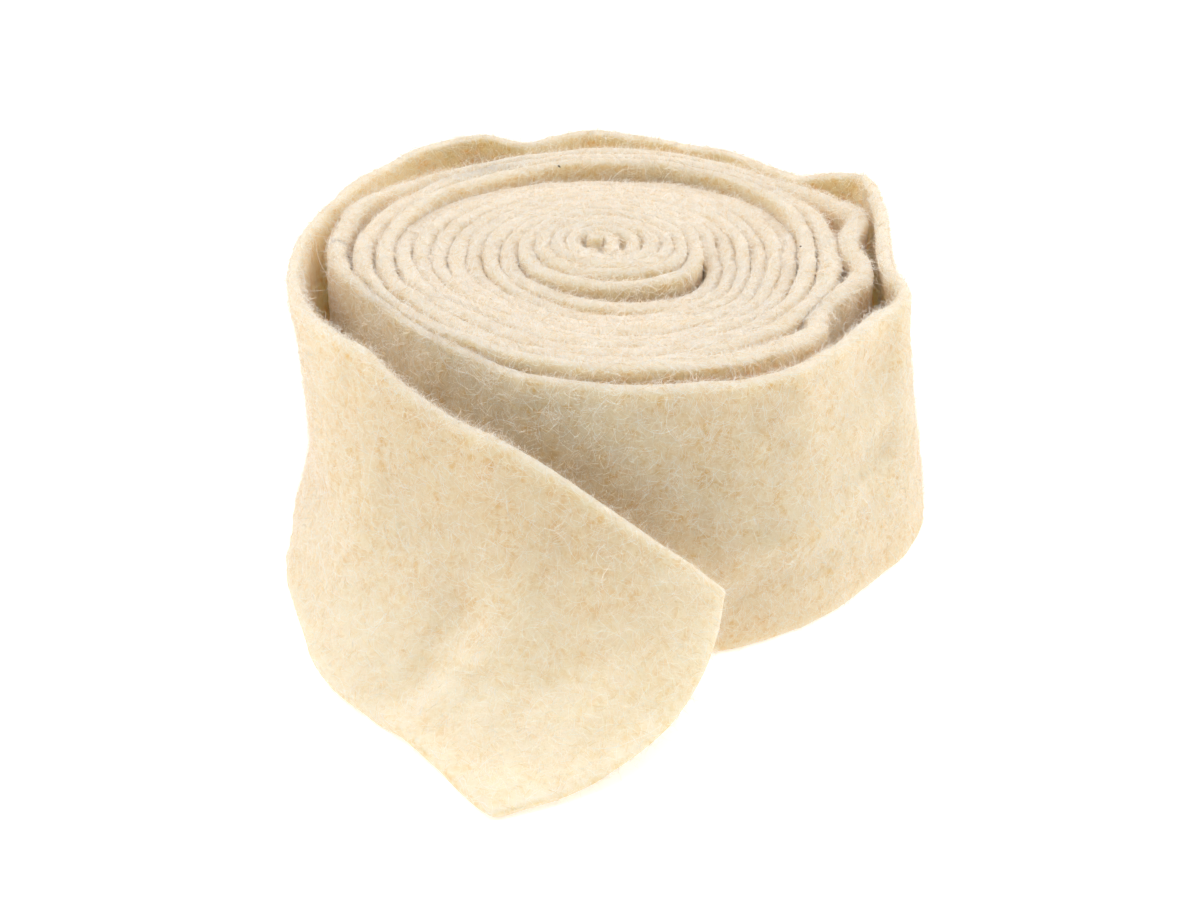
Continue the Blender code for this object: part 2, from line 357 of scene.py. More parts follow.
def soft_noise(points, size, shift=0.0):
    """Values from -1 to 1 at these points in mm, with swellings about this size in mm."""
    at = np.asarray(points, float) / size + shift
    cell = np.floor(at).astype(int)
    t = at - cell
    t = t * t * (3 - 2 * t)
    total = np.zeros(len(at))
    for dx in (0, 1):
        for dy in (0, 1):
            for dz in (0, 1):
                corner = (cell + (dx, dy, dz)) % LATTICE
                share = np.abs(1 - dx - t[:, 0]) * np.abs(1 - dy - t[:, 1]) * np.abs(1 - dz - t[:, 2])
                total += share * lattice_numbers[corner[:, 0], corner[:, 1], corner[:, 2]]
    return total


def sway(points, waves, shift):
    return sum(height * soft_noise(points, size, shift) for size, height in waves)


print("field at the origin:", round(float(soft_noise([[0.0, 0.0, 0.0]], 5.0)[0]), 3))

# %% [markdown]
# ## How thick the felt is
#
# Soft felt gives. Where the turns are pressed together each is only as thick as the room
# it has, and where the ribbon is free it keeps its own thickness. So the thickness along
# the ribbon is measured from the path itself: how near does the next turn come?
#
# A cut lip keeps the thickness that the felt was cut at, and a little below it the felt has
# fluffed out until it meets its neighbours. That is why the grooves between the lips are
# shallow and golden, and never black slots.

# %% Thickness along the ribbon
PATH_STEP = 2.0
PRESS_AT_LIP = 0.96
PRESS_BELOW = 0.985
LIP_UNEVENNESS = ((14.0, 0.08), (6.0, 0.06))
THINNEST = 2.7
THICKEST_LIP = 6.0
FLUFFED_THICKNESS = 7.5
SAME_TURN_WITHIN = 14.0
FAR_AWAY = 1000.0
EASE_OVER = 7


def thickness_table():
    """(place, thickness at the lip, thickness below it) along the ribbon."""
    place = np.arange(0.0, ribbon_length, PATH_STEP)
    edge = flowing(path, place)[:, :2]
    apart = np.linalg.norm(edge[:, None] - edge[None, :], axis=2)
    apart[np.abs(place[:, None] - place[None, :]) < SAME_TURN_WITHIN] = FAR_AWAY
    room = apart.min(axis=1)
    line = np.column_stack([place, 0 * place, 0 * place])
    uneven = np.minimum(PRESS_AT_LIP + sway(line, LIP_UNEVENNESS, SHIFTS["lip thickness"]), PRESS_BELOW)
    leaves = [last_turn_from, loose_from]
    free = np.interp(place, leaves, [1.0, 0.0])
    at_lip = np.clip(room * uneven, THINNEST, LOOSE_THICKNESS + free * (THICKEST_LIP - LOOSE_THICKNESS))
    most = LOOSE_THICKNESS + free * (FLUFFED_THICKNESS - LOOSE_THICKNESS)
    below = np.clip(room * PRESS_BELOW, THINNEST, most)
    window = np.ones(2 * EASE_OVER + 1) / (2 * EASE_OVER + 1)
    eased = [np.convolve(np.pad(t, EASE_OVER, mode="edge"), window, mode="valid") for t in (at_lip, below)]
    return place, *eased


thick_place, lip_thickness, felt_thickness = thickness_table()
print("least felt thickness, mm:", round(felt_thickness.min(), 2))
print("felt thickness at the lip, mm:", round(lip_thickness.min(), 2), "to", round(lip_thickness.max(), 2))

# %% [markdown]
# ## The ribbon as a solid
#
# The ribbon could be a flat grid with a thickness modifier, but then its edges would be
# square, and the soft round lips are most of what shows on the top of the roll. So the
# solid is swept instead: at every step along the ribbon a closed outline goes up the outer
# face, over the round lip, down the inner face and round the foot. The outlines are joined
# into a skin, and both ends are closed like the lips.

# %% Outline of one cross-section
LIP_ROUNDING = 2.1
FOOT_ROUNDING = 1.5
LIP_ANGLES = (18.0, 36.0, 54.0, 72.0, 90.0)
SHARPEST_LIP = 0.9
LIP_CHANGES_OVER = 17.0
LIP_CONTRAST = 1.6


def across_places(flat_places):
    """Distances from the upper edge at which each face has a point, from lip to foot."""
    lip = [LIP_ROUNDING * (1 - math.cos(math.radians(a))) for a in LIP_ANGLES]
    foot = [RIBBON_WIDTH - FOOT_ROUNDING * (1 - math.cos(math.radians(a))) for a in (90.0, 60.0, 30.0)]
    return np.array([*lip, *flat_places, *foot])


def half_thickness_share(along, places):
    """1 on the flat faces, and falling to 0 in a quarter circle at the lip and the foot.

    The lip is rounder in some stretches than in others, so that its groove comes and goes."""
    line = np.column_stack([along, 0 * along, 0 * along])
    noise = soft_noise(line, LIP_CHANGES_OVER, SHIFTS["lip rounding"])
    mix = 0.5 + 0.5 * np.clip(LIP_CONTRAST * noise, -1, 1)
    rounding = (SHARPEST_LIP + (LIP_ROUNDING - SHARPEST_LIP) * mix)[:, None]
    from_lip = np.clip((rounding - places[None, :]) / rounding, 0, 1)
    from_foot = np.clip((FOOT_ROUNDING - (RIBBON_WIDTH - places)) / FOOT_ROUNDING, 0, 1)[None, :]
    return np.sqrt(1 - from_lip**2) * np.sqrt(1 - from_foot**2)


# %% The middle surface and its normals
EDGE_WANDER = ((38.0, 0.5), (13.0, 0.5), (5.0, 0.22))
WOUND_SWAY = ((22.0, 0.45), (9.0, 0.2))
SWAY_ENDS_OVER = 60.0
STILL_HEART = 4.0


def middle_surface(along, places):
    """Points of the ribbon's middle surface: rows along the ribbon, columns from lip to foot."""
    flowed = flowing(path, along)
    top, knee, foot = flowed[:, :3], flowed[:, 3:6], flowed[:, 6:]
    line = np.column_stack([along, 0 * along, 0 * along])
    top[:, 2] += sway(line, EDGE_WANDER, SHIFTS["edge"])
    outward = top[:, :2] / (np.linalg.norm(top[:, :2], axis=1)[:, None] + STILL_HEART)
    wound = np.clip((loose_from - along) / SWAY_ENDS_OVER, 0.0, 1.0)[:, None]
    push = outward * wound * sway(line, WOUND_SWAY, SHIFTS["turns"])[:, None]
    top[:, :2] += push
    knee[:, :2] += push
    t = (places / RIBBON_WIDTH)[None, :, None]
    return (1 - t) ** 2 * top[:, None] + 2 * t * (1 - t) * knee[:, None] + t**2 * foot[:, None]


def surface_normals(grid):
    """Unit normals of the middle surface, on the side away from the roll."""
    normal = np.cross(np.gradient(grid, axis=1), np.gradient(grid, axis=0))
    return normal / np.linalg.norm(normal, axis=2)[..., None]


# %% Ridges and hollows pressed into the loose turn and its end
# from the cut end, from the lip, heading in degrees, half length, half width, height, in mm
PRESSED_SHAPES = (
    ("crease that runs up from the foot", 50.0, 53.0, 76.0, 24.0, 5.0, 1.5),
    ("hollow beside the crease", 61.0, 56.0, 78.0, 22.0, 6.0, -1.6),
    ("hollow under the lip", 36.0, 20.0, 110.0, 16.0, 8.0, -1.2),
    ("swelling by the cut end", 18.0, 45.0, 60.0, 18.0, 8.0, 0.8),
    ("low ridge on the front of the roll", 492.0, 47.0, 4.0, 30.0, 5.0, 1.4),
    ("hollow under that ridge", 490.0, 58.0, 4.0, 28.0, 5.0, -0.9),
    ("waist at the left", 126.0, 41.0, 0.0, 22.0, 7.0, -1.8),
    ("swelling under the waist", 128.0, 60.0, 0.0, 22.0, 8.0, 1.0),
    ("dent under the lip at the right", 468.0, 15.0, 0.0, 16.0, 5.0, -1.2),
    ("swelling at the right", 468.0, 28.0, 0.0, 16.0, 6.0, 0.9),
    ("dent lower down at the right", 468.0, 40.0, 0.0, 16.0, 5.0, -1.1),
    ("low swelling at the right", 468.0, 58.0, 0.0, 18.0, 9.0, 1.4),
)


def pressed_shapes(along, places):
    """How far each shape lifts the surface along its normal: soft ovals in the flat felt."""
    from_end = (ribbon_length - along)[:, None]
    lift = np.zeros((len(along), len(places)))
    for _name, end, lip, heading, half_length, half_width, height in PRESSED_SHAPES:
        c, n = math.cos(math.radians(heading)), math.sin(math.radians(heading))
        lengthways = ((from_end - end) * c + (places[None, :] - lip) * n) / half_length
        sideways = ((places[None, :] - lip) * c - (from_end - end) * n) / half_width
        lift += height * np.exp(-(lengthways**2) - sideways**2)
    return lift


# %% The whole skin
SWELLINGS = ((16.0, 0.4), (6.5, 0.36), (3.0, 0.28))
FLUFFS_OUT_FROM = 0.5
FLUFFED_OUT_AT = 2.4
END_ROUNDING = 2.2
END_STEPS = (0.12, 0.4, 0.8, 1.4, 2.1)
# An end that closed to a line would leave faces without any area.
NEARLY_CLOSED = 0.995
THINS_OVER = 12.0
THINS_BY = 0.3


def along_places(start, stop, step, round_start, round_stop):
    """Even steps along the ribbon, with closer ones where an end is rounded."""
    even = np.linspace(start, stop, int(round((stop - start) / step)) + 1)
    extra_start = [start + e for e in END_STEPS] if round_start else []
    extra_stop = [stop - e for e in END_STEPS] if round_stop else []
    return np.unique(np.concatenate([even, extra_start, extra_stop]))


def ribbon_skin(start, stop, step, flat_places, round_start, round_stop):
    """Rings of points round the ribbon from start to stop, and where along it each ring is."""
    along = along_places(start, stop, step, round_start, round_stop)
    places = np.concatenate([[0.0], across_places(flat_places), [RIBBON_WIDTH]])
    grid = middle_surface(along, places)
    normal = surface_normals(grid)
    fluffed = np.clip((places - FLUFFS_OUT_FROM) / (FLUFFED_OUT_AT - FLUFFS_OUT_FROM), 0, 1)[None, :]
    thick = np.interp(along, thick_place, lip_thickness)[:, None] * (1 - fluffed)
    thick = thick + np.interp(along, thick_place, felt_thickness)[:, None] * fluffed
    grid = grid + normal * pressed_shapes(along, places)[..., None]
    # Where the ribbon lies down, half its thickness goes below its middle, so it is lifted.
    grid[..., 2] += np.abs(normal[..., 2]) * thick / 2
    end_share = np.ones(len(along))
    if round_start:
        end_share *= np.sqrt(1 - np.clip(1 - (along - start) / END_ROUNDING, 0, NEARLY_CLOSED) ** 2)
    if round_stop:
        end_share *= 1 - THINS_BY * np.clip(1 - (stop - along) / THINS_OVER, 0, 1)
        end_share *= np.sqrt(1 - np.clip(1 - (stop - along) / END_ROUNDING, 0, NEARLY_CLOSED) ** 2)
    rounded = half_thickness_share(along, places)
    half = thick * end_share[:, None] / 2 * rounded
    sides = []
    for side in (1.0, -1.0):
        face = grid + side * half[..., None] * normal
        flat = face.reshape(-1, 3)
        swell = sway(flat, SWELLINGS, SHIFTS["skin"]).reshape(face.shape[:2])
        swell *= rounded
        sides.append(face + swell[..., None] * normal)
    outer, inner_side = sides
    # Foot, up the outer face, lip, down the inner face.
    rings = np.concatenate([outer[:, ::-1], inner_side[:, 1:-1]], axis=1)
    rings[..., 2] = np.maximum(rings[..., 2], 0.0)
    return rings, along


# %% [markdown]
# The skin also gets a flat map for painting. A ribbon four metres long and sixteen
# centimetres round would waste most of a square picture, so the map cuts it into equal
# lengths and lays them side by side.

# %% Make the mesh of a ribbon
MAP_MARGIN = 0.001


def ribbon_mesh(name, rings, along, map_rows):
    """Joins the rings into a closed skin, closes both ends and adds the flat map."""
    count, ring = rings.shape[:2]
    number = np.arange(count * ring).reshape(count, ring)
    this, following = number[:-1], number[1:]
    quads = np.stack([following, np.roll(following, -1, 1), np.roll(this, -1, 1), this], axis=-1)
    faces = quads.reshape(-1, 4).tolist()
    half = ring // 2
    for row, turned in ((number[0], True), (number[-1], False)):
        for k in range(half):
            a, b = row[k], row[k + 1]
            c, d = row[-(k + 1)], row[-k] if k else row[0]
            corners = [int(n) for n in dict.fromkeys((a, b, c, d))]
            faces.append(corners if turned else corners[::-1])
    mesh = bpy.data.meshes.new(name)
    mesh.from_pydata((rings.reshape(-1, 3) * MM).tolist(), [], faces)
    mesh.update()
    add_flat_map(mesh, count, ring, along, map_rows)
    mesh.shade_smooth()
    return mesh


def add_flat_map(mesh, count, ring, along, map_rows):
    """Each strip of the map holds one length of the ribbon, and its height is once round."""
    share = (along - along[0]) / (along[-1] - along[0]) * map_rows
    i, j = np.meshgrid(np.arange(count - 1), np.arange(ring), indexing="ij")
    strip = np.minimum(np.floor((share[:-1] + share[1:]) / 2), map_rows - 1)[i]
    u0, u1 = share[i] - strip, share[i + 1] - strip
    v0, v1 = (strip + (j + 0.5) / (ring + 1)) / map_rows, (strip + (j + 1.5) / (ring + 1)) / map_rows
    corners = np.stack([u1, v0, u1, v1, u0, v1, u0, v0], axis=-1).reshape(-1, 2)
    flat_map = mesh.uv_layers.new(name="OFBake")
    uv = np.zeros((len(mesh.loops), 2), np.float32)
    uv[: len(corners)] = np.clip(corners, MAP_MARGIN, 1 - MAP_MARGIN)
    flat_map.data.foreach_set("uv", uv.ravel())


def new_piece(name, mesh, material):
    piece = bpy.data.objects.new(name, mesh)
    piece.data.materials.append(material)
    scene.collection.objects.link(piece)
    return piece


# %% [markdown]
# ## Wool felt
#
# The real material is fulled wool felt in the natural cream of the sheep, not dyed. Its
# surface is matt, with no gloss at all, but the standing fibre ends catch light that grazes
# it, so a little sheen goes on top. Wool lets light seep through it, which softens every
# shadow and turns the gaps golden: that is what the subsurface light is for. The colour is
# cloudy, because darker and yellower locks of wool are matted in with the white ones. A
# painted highlight makes all that faces up paler, as the light from above makes it look.

# %% Colour and node helpers
def linear(code, alpha=1.0):
    """An sRGB hex colour such as "F0E2C8" as the linear values that shaders take."""
    values = [int(code[i : i + 2], 16) / 255 for i in (0, 2, 4)]
    return (*[v / 12.92 if v <= 0.04045 else ((v + 0.055) / 1.055) ** 2.4 for v in values], alpha)


def add_node(material, kind, settings=None, inputs=None, links=None):
    """Adds a node with its settings, its input values and the sockets that feed it."""
    node = material.node_tree.nodes.new(kind)
    for name, value in (settings or {}).items():
        setattr(node, name, value)
    for name, value in (inputs or {}).items():
        node.inputs[name].default_value = value
    for name, source in (links or {}).items():
        material.node_tree.links.new(source, node.inputs[name])
    return node


def new_material(name, **values):
    """A material with one Principled shader, whose sockets are set by name."""
    material = bpy.data.materials.new(name)
    material.use_nodes = True
    shader = material.node_tree.nodes["Principled BSDF"]
    for socket, value in values.items():
        shader.inputs[socket.replace("_", " ")].default_value = value
    return material, shader


# %% Clouds, locks and fibres
CLOUD_MM = 7.0
LOCK_MM = 2.1
FIBRE_MM = 0.6
PER_METRE = 1000.0


def felt_patterns(felt):
    """Noise of three sizes: clouds of colour, matted locks of wool, and bundles of fibres."""
    place = add_node(felt, "ShaderNodeTexCoord").outputs["Object"]
    clouds = add_node(
        felt,
        "ShaderNodeTexNoise",
        inputs={"Scale": PER_METRE / CLOUD_MM, "Detail": 3.0, "Roughness": 0.6},
        links={"Vector": place},
    )
    locks = add_node(
        felt,
        "ShaderNodeTexNoise",
        inputs={"Scale": PER_METRE / LOCK_MM, "Detail": 6.0, "Roughness": 0.7, "Distortion": 0.3},
        links={"Vector": place},
    )
    # Single fibres are 0.03 mm, too fine to show, so these are drawn as bundles of fibres.
    fibres = add_node(
        felt,
        "ShaderNodeTexNoise",
        inputs={"Scale": PER_METRE / FIBRE_MM, "Detail": 2.0, "Roughness": 0.7, "Distortion": 0.8},
        links={"Vector": place},
    )
    return [pattern.outputs["Fac"] for pattern in (clouds, locks, fibres)]


# %% Colour of the matted wool
CREAM_WOOL = "FAE1C0"
YELLOW_WOOL = "ECC384"
GREY_WOOL = "E8CDA0"


def matted_colour(felt, clouds, locks, fibres):
    """Cream wool with yellower locks, more of them in some clouds, and greyer fibres all over."""
    yellow_share = add_node(
        felt,
        "ShaderNodeMapRange",
        inputs={"From Min": 0.46, "From Max": 0.62, "To Min": 0.0, "To Max": 1.0},
        links={"Value": locks},
    )
    cloud_share = add_node(
        felt,
        "ShaderNodeMapRange",
        inputs={"From Min": 0.38, "From Max": 0.62, "To Min": 0.2, "To Max": 1.0},
        links={"Value": clouds},
    )
    both = add_node(
        felt,
        "ShaderNodeMath",
        {"operation": "MULTIPLY"},
        links={0: yellow_share.outputs["Result"], 1: cloud_share.outputs["Result"]},
    )
    locks_in = add_node(
        felt,
        "ShaderNodeMix",
        {"data_type": "RGBA"},
        {"A": linear(CREAM_WOOL), "B": linear(YELLOW_WOOL)},
        {"Factor": both.outputs["Value"]},
    )
    fibre_share = add_node(
        felt,
        "ShaderNodeMapRange",
        inputs={"From Min": 0.5, "From Max": 0.75, "To Min": 0.0, "To Max": 0.5},
        links={"Value": fibres},
    )
    fibres_in = add_node(
        felt,
        "ShaderNodeMix",
        {"data_type": "RGBA"},
        {"B": linear(GREY_WOOL)},
        {"Factor": fibre_share.outputs["Result"], "A": locks_in.outputs["Result"]},
    )
    return fibres_in.outputs["Result"]


# %% Painted highlight where it faces up
# Colour and share of the painted highlight on the faces that look up.
PAINTED_HIGHLIGHT_COLOUR = "FFF6EA"
PAINTED_HIGHLIGHT_SHARE = 0.42


def painted_highlight_on_top(felt, colour):
    """Painted highlight: all that faces up is drawn paler, as the light from above makes it look."""
    facing = add_node(
        felt,
        "ShaderNodeSeparateXYZ",
        links={"Vector": add_node(felt, "ShaderNodeNewGeometry").outputs["Normal"]},
    )
    share = add_node(
        felt,
        "ShaderNodeMapRange",
        inputs={"From Min": 0.2, "From Max": 0.85, "To Min": 0.0, "To Max": PAINTED_HIGHLIGHT_SHARE},
        links={"Value": facing.outputs["Z"]},
    )
    highlighted = add_node(
        felt,
        "ShaderNodeMix",
        {"data_type": "RGBA"},
        {"B": linear(PAINTED_HIGHLIGHT_COLOUR)},
        {"Factor": share.outputs["Result"], "A": colour},
    )
    return highlighted.outputs["Result"]


# %% Fulled wool felt
def fulled_wool_felt():
    """Cream felt: cloudy over 7 mm, flecked over 2 mm, and matted with fibres."""
    felt, shader = new_material(
        "fulled_wool_felt",
        Roughness=0.95,
        IOR=1.45,
        Sheen_Weight=0.6,
        Sheen_Roughness=0.5,
        Subsurface_Weight=0.8,
        Subsurface_Scale=0.01,
    )
    shader.inputs["Specular IOR Level"].default_value = 0.15
    shader.inputs["Subsurface Radius"].default_value = (1.0, 0.82, 0.6)
    shader.inputs["Sheen Tint"].default_value = linear("FFF6E6")
    clouds, locks, fibres = felt_patterns(felt)
    # A painted highlight goes over the wool colour where the felt faces up.
    colour = painted_highlight_on_top(felt, matted_colour(felt, clouds, locks, fibres))
    felt.node_tree.links.new(colour, shader.inputs["Base Color"])
    matted = add_node(
        felt,
        "ShaderNodeMath",
        {"operation": "MULTIPLY_ADD"},
        {1: 0.6},
        {0: fibres, 2: locks},
    )
    bump = add_node(
        felt,
        "ShaderNodeBump",
        inputs={"Strength": 0.6, "Distance": 0.6 * MM},
        links={"Height": matted.outputs["Value"]},
    )
    felt.node_tree.links.new(bump.outputs["Normal"], shader.inputs["Normal"])
    return felt


felt = fulled_wool_felt()
print("material:", felt.name, "with", len(felt.node_tree.nodes), "nodes")

# %% [markdown]
# ## Two pieces of one ribbon
#
# The ribbon is one strip, but two stretches of it need different detail. Of the wound
# turns only the lips show, so they have many points near the lip and few below it. The
# last turn and the loose end show from lip to foot, so they have an even net of points.
# The two meet under the loose turn at the back, where the same tables and the same random
# field carry on from one to the other.

# %% Build the wound turns and the loose end
WOUND_STEP = 1.75
END_STEP = 1.5
JOIN_AFTER = 0.58
WOUND_MAP_ROWS = 8
END_MAP_ROWS = 4
WOUND_FLATS = (2.9, 4.2, 5.8, 7.8, 10.5, 15.0, 24.0, 38.0, 56.0, 70.0)
END_FLATS = tuple(np.arange(3.2, RIBBON_WIDTH - FOOT_ROUNDING - 0.8, 1.6))

join_at = last_turn_from + JOIN_AFTER * (loose_from - last_turn_from)
wound_rings, wound_along = ribbon_skin(0.0, join_at, WOUND_STEP, WOUND_FLATS, True, False)
end_rings, end_along = ribbon_skin(join_at, ribbon_length, END_STEP, END_FLATS, False, True)
wound_mesh = ribbon_mesh("wound_turns", wound_rings, wound_along, WOUND_MAP_ROWS)
end_mesh = ribbon_mesh("loose_end", end_rings, end_along, END_MAP_ROWS)
wound_turns = new_piece("wound_turns", wound_mesh, felt)
loose_end = new_piece("loose_end", end_mesh, felt)
for piece in (wound_turns, loose_end):
    print(piece.name, "has", sum(len(f.vertices) - 2 for f in piece.data.polygons), "triangles")

# %% [markdown]
# ## Loose fibres
#
# This is what makes felt look like felt. Some fibres lie on the surface and give it a
# grain, short ones stand up and blur every outline and lip, and a few long curly ones have
# worked loose and lie in arcs over the grooves. Real wool fibre is about 0.03 mm thick. It
# is drawn two to four times as thick, because a thinner one would be lost.
#
# Each fibre is a flat ribbon of a few segments. Its root is a random point of the skin. It
# sets off in a random direction and turns a little at each step. A root is kept only where
# the skin is open to the air, so that none is spent between the turns.

# %% Where fibres can grow
OPEN_FOR = 6.0
START_OFF_SKIN = 0.3
MORE_ON_LIPS = 3.0
FOOT_BELOW = 3.0
# Below this height and inside this radius there are only turns pressed together.
LIPS_ABOVE = 62.0
PRESSED_WITHIN = 60.0
FIBRE_SEED = 41


def skin_triangles(pieces):
    """Corners, in mm, of all the triangles of these pieces."""
    found = []
    for piece in pieces:
        mesh = piece.data
        mesh.calc_loop_triangles()
        points = np.empty(len(mesh.vertices) * 3, np.float32)
        mesh.vertices.foreach_get("co", points)
        corners = np.empty(len(mesh.loop_triangles) * 3, np.int32)
        mesh.loop_triangles.foreach_get("vertices", corners)
        found.append(points.reshape(-1, 3)[corners.reshape(-1, 3)] / MM)
    return np.concatenate(found)


def open_roots(triangles, tree, count, dice):
    """(points, normals) of random places on the skin that are open to the air."""
    a, b, c = triangles[:, 0], triangles[:, 1], triangles[:, 2]
    across = np.cross(b - a, c - a)
    area = np.linalg.norm(across, axis=1) / 2
    normal = across / (2 * area[:, None] + 1e-12)
    under = (normal[:, 2] < -0.3) & (a[:, 2] < FOOT_BELOW)
    deep = (a[:, 2] < LIPS_ABOVE) & (np.linalg.norm(a[:, :2], axis=1) < PRESSED_WITHIN)
    on_top = (a[:, 2] > LIPS_ABOVE) & (normal[:, 2] > 0.2)
    chance = area * ~under * ~deep * np.where(on_top, MORE_ON_LIPS, 1.0)
    kept_points, kept_normals, kept = [], [], 0
    while kept < count:
        which = dice.choice(len(triangles), 4 * count // 3, p=chance / chance.sum())
        u, v = dice.random((2, len(which)))
        u, v = np.where(u + v > 1, 1 - u, u), np.where(u + v > 1, 1 - v, v)
        place = a[which] + u[:, None] * (b - a)[which] + v[:, None] * (c - a)[which]
        out = normal[which]
        start = place + START_OFF_SKIN * out
        is_open = np.array([tree.ray_cast(o, d, OPEN_FOR)[0] is None for o, d in zip(start, out)])
        kept_points.append(place[is_open])
        kept_normals.append(out[is_open])
        kept += is_open.sum()
    return np.concatenate(kept_points)[:count], np.concatenate(kept_normals)[:count]


skin = skin_triangles((wound_turns, loose_end))
skin_tree = BVHTree.FromPolygons(
    skin.reshape(-1, 3).tolist(), np.arange(len(skin) * 3).reshape(-1, 3).tolist()
)
twice_each_area = np.linalg.norm(np.cross(skin[:, 1] - skin[:, 0], skin[:, 2] - skin[:, 0]), axis=1)
print("skin area, square mm:", round(float(twice_each_area.sum() / 2)))


# %% Grow fibres
BENDS_OVER_AT = 82.0
STILL_RISES = 0.25
CLIMB_LEFT_AFTER_A_STEP = 0.8
TIP_WIDTH = 0.5
TWIST = 0.5
CLEAR_OF_TABLE = 0.05


def fibre_mesh(name, roots, normals, length, lift, rise, curl, width, segments, dice):
    """Flat ribbons in mm: length, lift in the middle, rise in degrees and curl over each one."""
    count = len(roots)
    size = dice.uniform(*length, count)
    helper = dice.normal(size=(count, 3))
    heading = np.cross(normals, helper)
    heading /= np.linalg.norm(heading, axis=1)[:, None]
    climb = np.radians(dice.uniform(*rise, count))[:, None]
    middle = dice.uniform(*lift, count)[:, None]
    turning = np.radians(dice.normal(0.0, curl, count))[:, None] / segments
    point = roots.copy()
    line = [point]
    for _step in range(segments):
        turning_now = turning + np.radians(dice.normal(0.0, curl / 3, (count, 1))) / segments
        sideways = np.cross(normals, heading)
        heading = heading * np.cos(turning_now) + sideways * np.sin(turning_now)
        stride = (size / segments)[:, None]
        point = point + stride * (heading * np.cos(climb) + normals * np.sin(climb))
        climb = climb * CLIMB_LEFT_AFTER_A_STEP
        line.append(point)
    line = np.stack(line, axis=1)
    arch = np.sin(np.linspace(0, math.pi, segments + 1))[None, :, None]
    line = line + middle[..., None] * arch * normals[:, None]
    # A hair that stands up past the lips bends over under its own weight.
    line[..., 2] -= (1 - STILL_RISES) * np.maximum(line[..., 2] - BENDS_OVER_AT, 0.0)
    forwards = np.gradient(line, axis=1)
    flat_side = np.cross(forwards, normals[:, None] + TWIST * helper[:, None])
    flat_side /= np.linalg.norm(flat_side, axis=2)[..., None] + 1e-9
    taper = np.linspace(1.0, TIP_WIDTH, segments + 1)[None, :, None]
    half = dice.uniform(*width, count)[:, None, None] / 2 * taper
    points = np.stack([line - half * flat_side, line + half * flat_side], axis=2)
    points[..., 2] = np.maximum(points[..., 2], CLEAR_OF_TABLE)
    number = np.arange(count * (segments + 1) * 2).reshape(count, segments + 1, 2)
    quads = np.stack(
        [number[:, :-1, 0], number[:, 1:, 0], number[:, 1:, 1], number[:, :-1, 1]], axis=-1
    )
    mesh = bpy.data.meshes.new(name)
    mesh.from_pydata((points.reshape(-1, 3) * MM).tolist(), [], quads.reshape(-1, 4).tolist())
    mesh.shade_smooth()
    return mesh


def wool(name, colour):
    """A single wool fibre is clear keratin, so it shines a little more than the matted felt."""
    material, _shader = new_material(
        name, Base_Color=linear(colour), Roughness=0.8, IOR=1.55, Sheen_Weight=0.2
    )
    return material


# name, colour, how many, length, lift in the middle, rise in degrees, curl, width, segments
FIBRES = (
    ("nap_white", "FFFAF2", 47000, (1.8, 4.6), (0.1, 0.8), (0.0, 8.0), 30.0, (0.07, 0.10), 2),
    ("nap_cream", "FFF3E0", 47000, (1.8, 4.6), (0.05, 0.6), (0.0, 6.0), 30.0, (0.07, 0.11), 2),
    ("nap_golden", "F0D29A", 18000, (1.6, 4.0), (0.02, 0.4), (0.0, 5.0), 26.0, (0.07, 0.11), 2),
    ("standing_fuzz", "FFFBF4", 46000, (0.9, 3.0), (0.0, 0.3), (15.0, 70.0), 60.0, (0.06, 0.09), 2),
    ("long_strays", "FFFCF6", 1200, (7.0, 20.0), (0.3, 2.4), (-2.0, 8.0), 130.0, (0.08, 0.11), 12),
)


def grow_fibres():
    dice = np.random.default_rng(FIBRE_SEED)
    grown = []
    for name, colour, count, length, lift, rise, curl, width, segments in FIBRES:
        roots, normals = open_roots(skin, skin_tree, count, dice)
        mesh = fibre_mesh(name, roots, normals, length, lift, rise, curl, width, segments, dice)
        grown.append(new_piece(name, mesh, wool(name + "_wool", colour)))
        print(name, "has", 2 * len(mesh.polygons), "triangles")
    return grown


fibre_pieces = grow_fibres()

# %% [markdown]
# ## Bits of straw
#
# Wool comes from a field, and carding never takes all of it out. Five dark specks of straw
# and seed are caught in this felt.

# %% Set the specks
# where, in mm, length, width
SPECKS = (
    ((-15.3, 60.5, 76.0), 1.3, 0.6),
    ((50.5, 6.0, 75.5), 0.9, 0.5),
    ((11.2, -111.0, 2.0), 1.5, 0.6),
    ((-62.1, -68.7, 20.6), 0.8, 0.4),
    ((-58.3, -66.0, 33.1), 0.7, 0.4),
)
RIM_ABOVE_FELT = 0.25
TOP_ABOVE_FELT = 0.5
POINT_IN_FELT = 0.1
SPECK_SEED = 5


def set_specks():
    """Each speck is a flat diamond with a peak above it and a point that sticks in the felt."""
    dice = np.random.default_rng(SPECK_SEED)
    points, faces = [], []
    for where, length, width in SPECKS:
        place, out, _index, _distance = skin_tree.find_nearest(Vector(where))
        along = out.cross(Vector(dice.normal(size=3))).normalized()
        beside = out.cross(along)
        first = len(points)
        for way in (along * length, -along * length, beside * width, -beside * width):
            points.append(place + out * RIM_ABOVE_FELT + way / 2)
        points.extend([place + out * TOP_ABOVE_FELT, place - out * POINT_IN_FELT])
        for top, turned in ((4, False), (5, True)):
            for a, b in ((0, 2), (2, 1), (1, 3), (3, 0)):
                corners = (first + a, first + b, first + top)
                faces.append(corners[::-1] if turned else corners)
    mesh = bpy.data.meshes.new("straw_specks")
    mesh.from_pydata([p * MM for p in points], [], faces)
    # Weathered straw is dry, split stem: grey-brown, dark against the wool, and without gloss.
    straw, _shader = new_material("weathered_straw", Base_Color=linear("6B5648"), Roughness=0.8)
    return new_piece("straw_specks", mesh, straw)


specks = set_specks()
print("specks:", len(SPECKS))

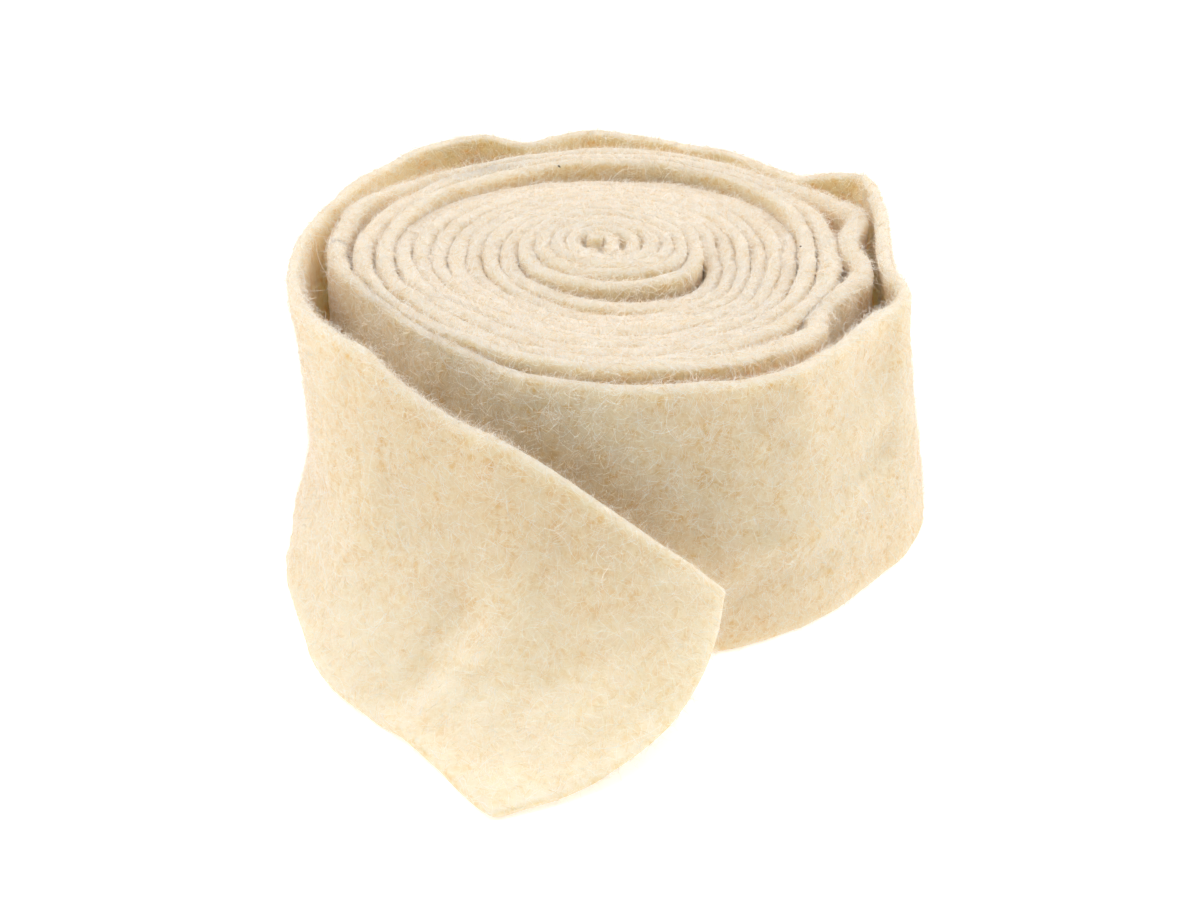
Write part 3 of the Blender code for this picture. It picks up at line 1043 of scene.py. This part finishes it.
# %% [markdown]
# ## Floor, light and camera
#
# A table in a light tent: a white floor that glows a little, a big soft light on each side
# and one high overhead that looks down into the gaps. Nothing low lights the front, so the
# faces that look at the camera are a shade darker than the sides, and the lips and
# shoulders are bright.

# %% The floor
FLOOR_SIZE = 6.0


def build_floor():
    """A sheet of sanded white acrylic, lit from below: even white, with no reflection."""
    white, _shader = new_material(
        "white_acrylic_table",
        Base_Color=linear("FFFFFF"),
        Roughness=0.6,
        Emission_Color=linear("FFFFFF"),
        Emission_Strength=0.40,
    )
    mesh = bpy.data.meshes.new("floor")
    half = FLOOR_SIZE / 2
    corners = [(-half, -half, 0), (half, -half, 0), (half, half, 0), (-half, half, 0)]
    mesh.from_pydata(corners, [], [(0, 1, 2, 3)])
    floor = new_piece("floor", mesh, white)
    return floor


floor = build_floor()
print("floor, m:", FLOOR_SIZE, "square")

# %% The lights
SKY_STRENGTH = 0.18
LIGHTS_AIM_AT = (0.0, 0.0, 0.04)
# name, place, size in m, power in W
SOFT_LIGHTS = (
    ("left light", (-0.95, 0.1, 0.85), 1.1, 9.5),
    ("right light", (0.97, 0.2, 0.75), 1.1, 9.5),
    ("high light", (0.0, -0.2, 1.3), 0.9, 7.5),
)


def build_lights():
    world = bpy.data.worlds.new("light tent")
    world.use_nodes = True
    world.node_tree.nodes["Background"].inputs["Color"].default_value = (1, 1, 1, 1)
    world.node_tree.nodes["Background"].inputs["Strength"].default_value = SKY_STRENGTH
    scene.world = world
    for name, place, size, power in SOFT_LIGHTS:
        light = bpy.data.lights.new(name, "AREA")
        light.size = size
        light.energy = power
        lamp = bpy.data.objects.new(name, light)
        lamp.location = place
        aim = Vector(LIGHTS_AIM_AT) - lamp.location
        lamp.rotation_euler = aim.to_track_quat("-Z", "Y").to_euler()
        scene.collection.objects.link(lamp)


build_lights()
print("soft lights:", len(SOFT_LIGHTS), "with", sum(row[3] for row in SOFT_LIGHTS), "W in all")

# %% The camera
CAMERA_PLACE = (0.0, -0.439, 0.275)
CAMERA_DOWN_DEGREES = 30.7
CAMERA_LEFT_DEGREES = 0.38
LENS_MM = 54.0


def build_camera():
    camera = bpy.data.cameras.new("camera")
    camera.lens = LENS_MM
    camera.sensor_width = 36.0
    camera.clip_start = 0.01
    viewer = bpy.data.objects.new("camera", camera)
    viewer.location = CAMERA_PLACE
    viewer.rotation_euler = (
        math.radians(90.0 - CAMERA_DOWN_DEGREES),
        0.0,
        math.radians(CAMERA_LEFT_DEGREES),
    )
    scene.collection.objects.link(viewer)
    scene.camera = viewer


build_camera()
scene.view_settings.view_transform = "Standard"
scene.view_settings.look = "None"
print("camera:", LENS_MM, "mm lens, looking down by", CAMERA_DOWN_DEGREES, "degrees")

# %% [markdown]
# ## The pieces on the one body
#
# Each piece rides on the one body. The two stretches of the ribbon take the place of the two
# imported solids, which are hidden.

def declare_ribbon(piece, node):
    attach(piece, "root")
    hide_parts(node)


declare_ribbon(wound_turns, "wound_roll")
declare_ribbon(loose_end, "loose_sheet")
for piece in (*fibre_pieces, specks):
    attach(piece, "root")
print("pieces on the one body:", len((wound_turns, loose_end, *fibre_pieces, specks)))
